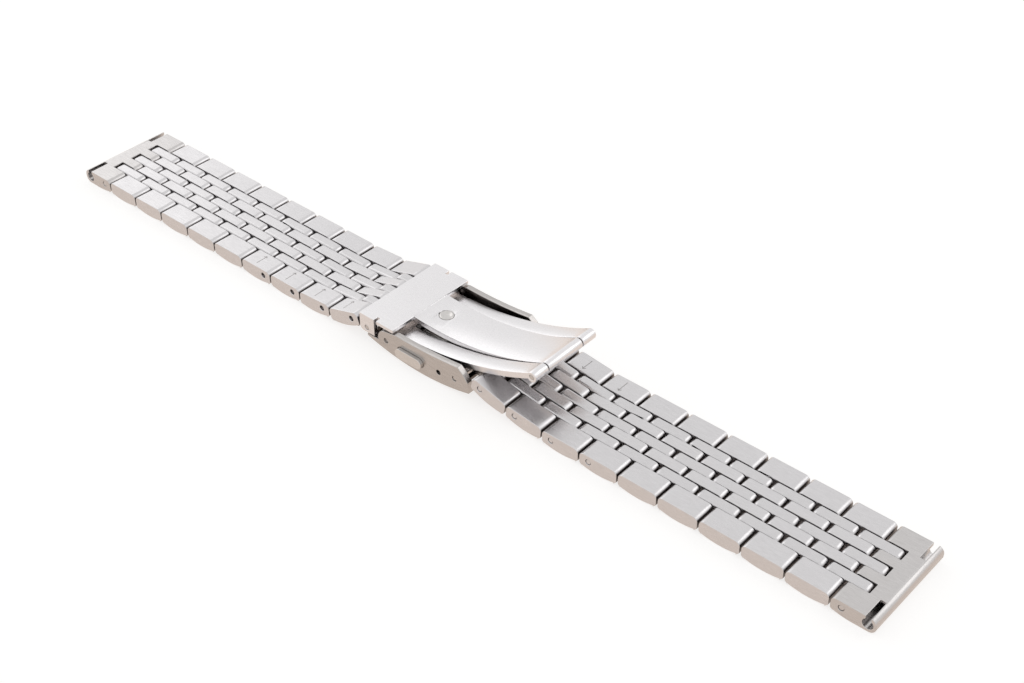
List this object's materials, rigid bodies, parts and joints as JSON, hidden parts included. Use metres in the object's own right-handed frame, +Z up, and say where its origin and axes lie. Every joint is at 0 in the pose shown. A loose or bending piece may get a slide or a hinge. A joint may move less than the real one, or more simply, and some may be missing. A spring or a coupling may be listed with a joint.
{
  "type": "beads of rice watch bracelet",
  "caption": "Steel watch bracelet laid flat, wrist side up: rows of rounded beads between outer links, hinged on pins, with a folding clasp released by side push buttons.",
  "frame": {"origin": "on the table under the bracelet, midway between its two case ends and midway across its width", "axes": "+X along the bracelet towards the case end of the half that hangs on the clasp's cover, +Y across the bracelet, +Z up from the table to the wrist side"},
  "size_m": [0.189, 0.0214, 0.0119],
  "materials": {
    "links": "satin stainless steel, brushed along the bracelet",
    "beads": "satin stainless steel",
    "end_pieces": "satin stainless steel, brushed along the bracelet",
    "cover": "satin stainless steel with bright edges",
    "buttons": "polished stainless steel",
    "blades": "satin stainless steel, brushed along the blades",
    "springs": "spring steel",
    "pins": "turned stainless steel"
  },
  "bodies": {
    "cover": {"cover": "cover", "pivot_pin": "pins", "guide_rails": "pins", "near_button_spring": "springs", "far_button_spring": "springs", "spring_bar_tube": "pins", "spring_bar_spring": "springs"},
    "near_button": {"near_button": "buttons", "near_catch": "pins"},
    "far_button": {"far_button": "buttons", "far_catch": "pins"},
    "near_spring_bar_tip": {"near_spring_bar_tip": "pins"},
    "far_spring_bar_tip": {"far_spring_bar_tip": "pins"},
    "fork": {"fork": "blades", "blade_hinge_pin": "pins"},
    "centre_blade": {"centre_blade": "blades", "catch_stud": "pins", "lug_pin": "pins"},
    "left_beads_10": {"left_beads_10": "beads"},
    "left_link_10": {"left_link_10": "links"},
    "left_beads_9": {"left_beads_9": "beads"},
    "left_link_9": {"left_link_9": "links"},
    "left_beads_8": {"left_beads_8": "beads"},
    "left_link_8": {"left_link_8": "links"},
    "left_beads_7": {"left_beads_7": "beads"},
    "left_link_7": {"left_link_7": "links"},
    "left_beads_6": {"left_beads_6": "beads"},
    "left_link_6": {"left_link_6": "links"},
    "left_beads_5": {"left_beads_5": "beads"},
    "left_link_5": {"left_link_5": "links"},
    "left_beads_4": {"left_beads_4": "beads"},
    "left_link_4": {"left_link_4": "links"},
    "left_beads_3": {"left_beads_3": "beads"},
    "left_link_3": {"left_link_3": "links"},
    "left_beads_2": {"left_beads_2": "beads"},
    "left_link_2": {"left_link_2": "links"},
    "left_beads_1": {"left_beads_1": "beads"},
    "left_end_piece": {"left_end_piece": "end_pieces"},
    "right_beads_1": {"right_beads_1": "beads"},
    "right_link_1": {"right_link_1": "links"},
    "right_beads_2": {"right_beads_2": "beads"},
    "right_link_2": {"right_link_2": "links"},
    "right_beads_3": {"right_beads_3": "beads"},
    "right_link_3": {"right_link_3": "links"},
    "right_beads_4": {"right_beads_4": "beads"},
    "right_link_4": {"right_link_4": "links"},
    "right_beads_5": {"right_beads_5": "beads"},
    "right_link_5": {"right_link_5": "links"},
    "right_beads_6": {"right_beads_6": "beads"},
    "right_link_6": {"right_link_6": "links"},
    "right_beads_7": {"right_beads_7": "beads"},
    "right_link_7": {"right_link_7": "links"},
    "right_beads_8": {"right_beads_8": "beads"},
    "right_link_8": {"right_link_8": "links"},
    "right_beads_9": {"right_beads_9": "beads"},
    "right_link_9": {"right_link_9": "links"},
    "right_beads_10": {"right_beads_10": "beads"},
    "right_end_piece": {"right_end_piece": "end_pieces"}
  },
  "joints": [
    {"name": "clasp_button_near", "type": "slide", "parent": "cover", "child": "near_button", "axis": [0, 1, 0], "range_m": [0, 0.0006], "stiffness_N_per_m": 300, "deforming": ["near_button_spring"]},
    {"name": "clasp_button_far", "type": "slide", "parent": "cover", "child": "far_button", "axis": [0, -1, 0], "range_m": [0, 0.0006], "stiffness_N_per_m": 300, "deforming": ["far_button_spring"]},
    {"name": "clasp_fork", "type": "hinge", "parent": "cover", "child": "fork", "pos_m": [-0.00687, 0, 0.00291], "axis": [0, -1, 0], "range_deg": [0, 150]},
    {"name": "clasp_blade", "type": "hinge", "parent": "fork", "child": "centre_blade", "pos_m": [0.02576, 0, 0.01092], "axis": [0, 1, 0], "range_deg": [0, 150]},
    {"name": "bar_tip_near", "type": "slide", "parent": "cover", "child": "near_spring_bar_tip", "axis": [0, 1, 0], "range_m": [0, 0.00105], "stiffness_N_per_m": 200, "deforming": ["spring_bar_spring"]},
    {"name": "bar_tip_far", "type": "slide", "parent": "cover", "child": "far_spring_bar_tip", "axis": [0, -1, 0], "range_m": [0, 0.00105], "stiffness_N_per_m": 200, "deforming": ["spring_bar_spring"]},
    {"name": "left_beads_10_hinge", "type": "hinge", "parent": "centre_blade", "child": "left_beads_10", "pos_m": [-0.01168, 0, 0.00348], "axis": [0, -1, 0], "range_deg": [-8, 10]},
    {"name": "left_link_10_hinge", "type": "hinge", "parent": "left_beads_10", "child": "left_link_10", "pos_m": [-0.01573, 0, 0.00348], "axis": [0, -1, 0], "range_deg": [-9, 10]},
    {"name": "left_beads_9_hinge", "type": "hinge", "parent": "left_link_10", "child": "left_beads_9", "pos_m": [-0.01959, 0, 0.00226], "axis": [0, -1, 0], "range_deg": [-9, 12]},
    {"name": "left_link_9_hinge", "type": "hinge", "parent": "left_beads_9", "child": "left_link_9", "pos_m": [-0.02362, 0, 0.00191], "axis": [0, -1, 0], "range_deg": [-9, 12]},
    {"name": "left_beads_8_hinge", "type": "hinge", "parent": "left_link_9", "child": "left_beads_8", "pos_m": [-0.02766, 0, 0.00165], "axis": [0, -1, 0], "range_deg": [-9, 12]},
    {"name": "left_link_8_hinge", "type": "hinge", "parent": "left_beads_8", "child": "left_link_8", "pos_m": [-0.03171, 0, 0.00165], "axis": [0, -1, 0], "range_deg": [-9, 12]},
    {"name": "left_beads_7_hinge", "type": "hinge", "parent": "left_link_8", "child": "left_beads_7", "pos_m": [-0.03576, 0, 0.00165], "axis": [0, -1, 0], "range_deg": [-9, 12]},
    {"name": "left_link_7_hinge", "type": "hinge", "parent": "left_beads_7", "child": "left_link_7", "pos_m": [-0.03981, 0, 0.00165], "axis": [0, -1, 0], "range_deg": [-9, 12]},
    {"name": "left_beads_6_hinge", "type": "hinge", "parent": "left_link_7", "child": "left_beads_6", "pos_m": [-0.04386, 0, 0.00165], "axis": [0, -1, 0], "range_deg": [-9, 12]},
    {"name": "left_link_6_hinge", "type": "hinge", "parent": "left_beads_6", "child": "left_link_6", "pos_m": [-0.04791, 0, 0.00165], "axis": [0, -1, 0], "range_deg": [-9, 12]},
    {"name": "left_beads_5_hinge", "type": "hinge", "parent": "left_link_6", "child": "left_beads_5", "pos_m": [-0.05196, 0, 0.00165], "axis": [0, -1, 0], "range_deg": [-9, 12]},
    {"name": "left_link_5_hinge", "type": "hinge", "parent": "left_beads_5", "child": "left_link_5", "pos_m": [-0.05601, 0, 0.00165], "axis": [0, -1, 0], "range_deg": [-9, 12]},
    {"name": "left_beads_4_hinge", "type": "hinge", "parent": "left_link_5", "child": "left_beads_4", "pos_m": [-0.06006, 0, 0.00165], "axis": [0, -1, 0], "range_deg": [-9, 12]},
    {"name": "left_link_4_hinge", "type": "hinge", "parent": "left_beads_4", "child": "left_link_4", "pos_m": [-0.06411, 0, 0.00165], "axis": [0, -1, 0], "range_deg": [-9, 12]},
    {"name": "left_beads_3_hinge", "type": "hinge", "parent": "left_link_4", "child": "left_beads_3", "pos_m": [-0.06816, 0, 0.00165], "axis": [0, -1, 0], "range_deg": [-9, 12]},
    {"name": "left_link_3_hinge", "type": "hinge", "parent": "left_beads_3", "child": "left_link_3", "pos_m": [-0.07221, 0, 0.00165], "axis": [0, -1, 0], "range_deg": [-9, 12]},
    {"name": "left_beads_2_hinge", "type": "hinge", "parent": "left_link_3", "child": "left_beads_2", "pos_m": [-0.07626, 0, 0.00165], "axis": [0, -1, 0], "range_deg": [-9, 12]},
    {"name": "left_link_2_hinge", "type": "hinge", "parent": "left_beads_2", "child": "left_link_2", "pos_m": [-0.08031, 0, 0.00165], "axis": [0, -1, 0], "range_deg": [-9, 12]},
    {"name": "left_beads_1_hinge", "type": "hinge", "parent": "left_link_2", "child": "left_beads_1", "pos_m": [-0.08436, 0, 0.00165], "axis": [0, -1, 0], "range_deg": [-9, 12]},
    {"name": "left_end_piece_hinge", "type": "hinge", "parent": "left_beads_1", "child": "left_end_piece", "pos_m": [-0.08841, 0, 0.00165], "axis": [0, -1, 0], "range_deg": [-9, 12]},
    {"name": "right_beads_1_hinge", "type": "hinge", "parent": "cover", "child": "right_beads_1", "pos_m": [0.0098, 0, 0.00314], "axis": [0, 1, 0], "range_deg": [-2, 5]},
    {"name": "right_link_1_hinge", "type": "hinge", "parent": "right_beads_1", "child": "right_link_1", "pos_m": [0.01573, 0, 0.00405], "axis": [0, 1, 0], "range_deg": [-6, 10]},
    {"name": "right_beads_2_hinge", "type": "hinge", "parent": "right_link_1", "child": "right_beads_2", "pos_m": [0.01964, 0, 0.003], "axis": [0, 1, 0], "range_deg": [-9, 12]},
    {"name": "right_link_2_hinge", "type": "hinge", "parent": "right_beads_2", "child": "right_link_2", "pos_m": [0.02365, 0, 0.00241], "axis": [0, 1, 0], "range_deg": [-9, 12]},
    {"name": "right_beads_3_hinge", "type": "hinge", "parent": "right_link_2", "child": "right_beads_3", "pos_m": [0.02768, 0, 0.00198], "axis": [0, 1, 0], "range_deg": [-9, 12]},
    {"name": "right_link_3_hinge", "type": "hinge", "parent": "right_beads_3", "child": "right_link_3", "pos_m": [0.03171, 0, 0.00165], "axis": [0, 1, 0], "range_deg": [-9, 12]},
    {"name": "right_beads_4_hinge", "type": "hinge", "parent": "right_link_3", "child": "right_beads_4", "pos_m": [0.03576, 0, 0.00165], "axis": [0, 1, 0], "range_deg": [-9, 12]},
    {"name": "right_link_4_hinge", "type": "hinge", "parent": "right_beads_4", "child": "right_link_4", "pos_m": [0.03981, 0, 0.00165], "axis": [0, 1, 0], "range_deg": [-9, 12]},
    {"name": "right_beads_5_hinge", "type": "hinge", "parent": "right_link_4", "child": "right_beads_5", "pos_m": [0.04386, 0, 0.00165], "axis": [0, 1, 0], "range_deg": [-9, 12]},
    {"name": "right_link_5_hinge", "type": "hinge", "parent": "right_beads_5", "child": "right_link_5", "pos_m": [0.04791, 0, 0.00165], "axis": [0, 1, 0], "range_deg": [-9, 12]},
    {"name": "right_beads_6_hinge", "type": "hinge", "parent": "right_link_5", "child": "right_beads_6", "pos_m": [0.05196, 0, 0.00165], "axis": [0, 1, 0], "range_deg": [-9, 12]},
    {"name": "right_link_6_hinge", "type": "hinge", "parent": "right_beads_6", "child": "right_link_6", "pos_m": [0.05601, 0, 0.00165], "axis": [0, 1, 0], "range_deg": [-9, 12]},
    {"name": "right_beads_7_hinge", "type": "hinge", "parent": "right_link_6", "child": "right_beads_7", "pos_m": [0.06006, 0, 0.00165], "axis": [0, 1, 0], "range_deg": [-9, 12]},
    {"name": "right_link_7_hinge", "type": "hinge", "parent": "right_beads_7", "child": "right_link_7", "pos_m": [0.06411, 0, 0.00165], "axis": [0, 1, 0], "range_deg": [-9, 12]},
    {"name": "right_beads_8_hinge", "type": "hinge", "parent": "right_link_7", "child": "right_beads_8", "pos_m": [0.06816, 0, 0.00165], "axis": [0, 1, 0], "range_deg": [-9, 12]},
    {"name": "right_link_8_hinge", "type": "hinge", "parent": "right_beads_8", "child": "right_link_8", "pos_m": [0.07221, 0, 0.00165], "axis": [0, 1, 0], "range_deg": [-9, 12]},
    {"name": "right_beads_9_hinge", "type": "hinge", "parent": "right_link_8", "child": "right_beads_9", "pos_m": [0.07626, 0, 0.00165], "axis": [0, 1, 0], "range_deg": [-9, 12]},
    {"name": "right_link_9_hinge", "type": "hinge", "parent": "right_beads_9", "child": "right_link_9", "pos_m": [0.08031, 0, 0.00165], "axis": [0, 1, 0], "range_deg": [-9, 12]},
    {"name": "right_beads_10_hinge", "type": "hinge", "parent": "right_link_9", "child": "right_beads_10", "pos_m": [0.08436, 0, 0.00165], "axis": [0, 1, 0], "range_deg": [-9, 12]},
    {"name": "right_end_piece_hinge", "type": "hinge", "parent": "right_beads_10", "child": "right_end_piece", "pos_m": [0.08841, 0, 0.00165], "axis": [0, 1, 0], "range_deg": [-9, 12]}
  ],
  "couplings": [
    {"joint": "clasp_blade", "follows": "clasp_fork", "ratio": 1}
  ]
}
